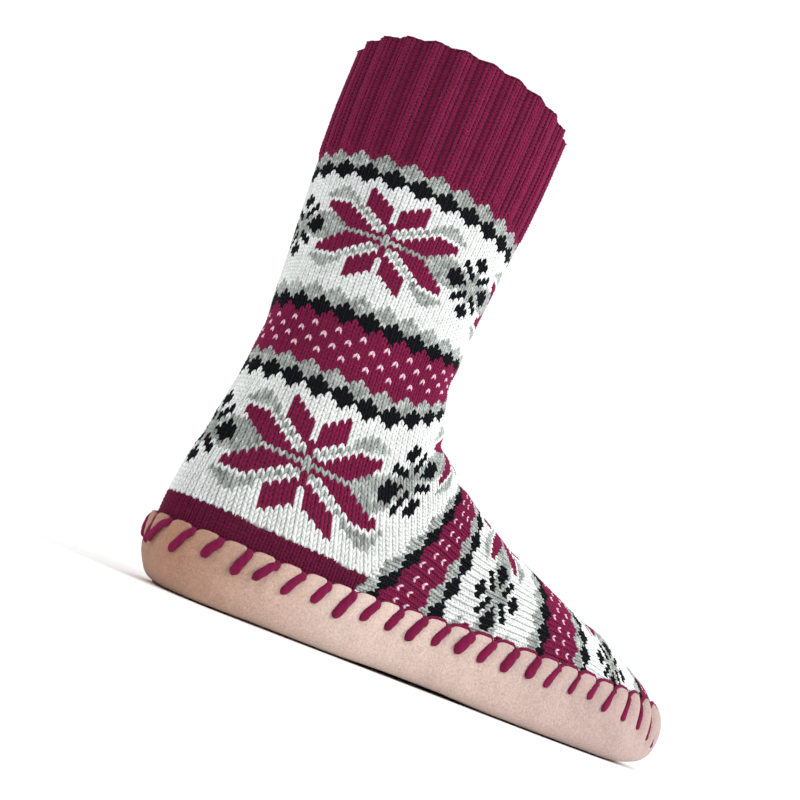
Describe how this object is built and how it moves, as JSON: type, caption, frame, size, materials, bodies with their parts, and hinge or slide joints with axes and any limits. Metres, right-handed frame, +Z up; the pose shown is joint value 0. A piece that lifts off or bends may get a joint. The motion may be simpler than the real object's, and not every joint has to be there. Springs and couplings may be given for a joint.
{
  "type": "boot slipper",
  "caption": "Knitted slipper sock with a patterned ankle shaft, a wrapped suede sole whip-stitched round the foot and a felt insole.",
  "frame": {"origin": "on the floor, under the middle of the slipper's box", "axes": "+X towards the toe, +Y across the foot, +Z up the shaft"},
  "size_m": [0.2502, 0.092, 0.2301],
  "materials": {
    "knit": "acrylic and wool jersey, stranded in dark magenta, white, black and grey melange",
    "suede_band": "pale peach suede-like fabric with a short nap",
    "suede_panel": "pinkish brown suede-like fabric with a short nap",
    "felt": "pressed grey felt",
    "yarn": "thick plied wool yarn, dark magenta",
    "grip_dots": "small matt anti-slip dots, orange brown"
  },
  "bodies": {
    "root": {"upper": "knit", "side_band": "suede_band", "sole_panel": "suede_panel", "insole": "felt"}
  },
  "joints": []
}
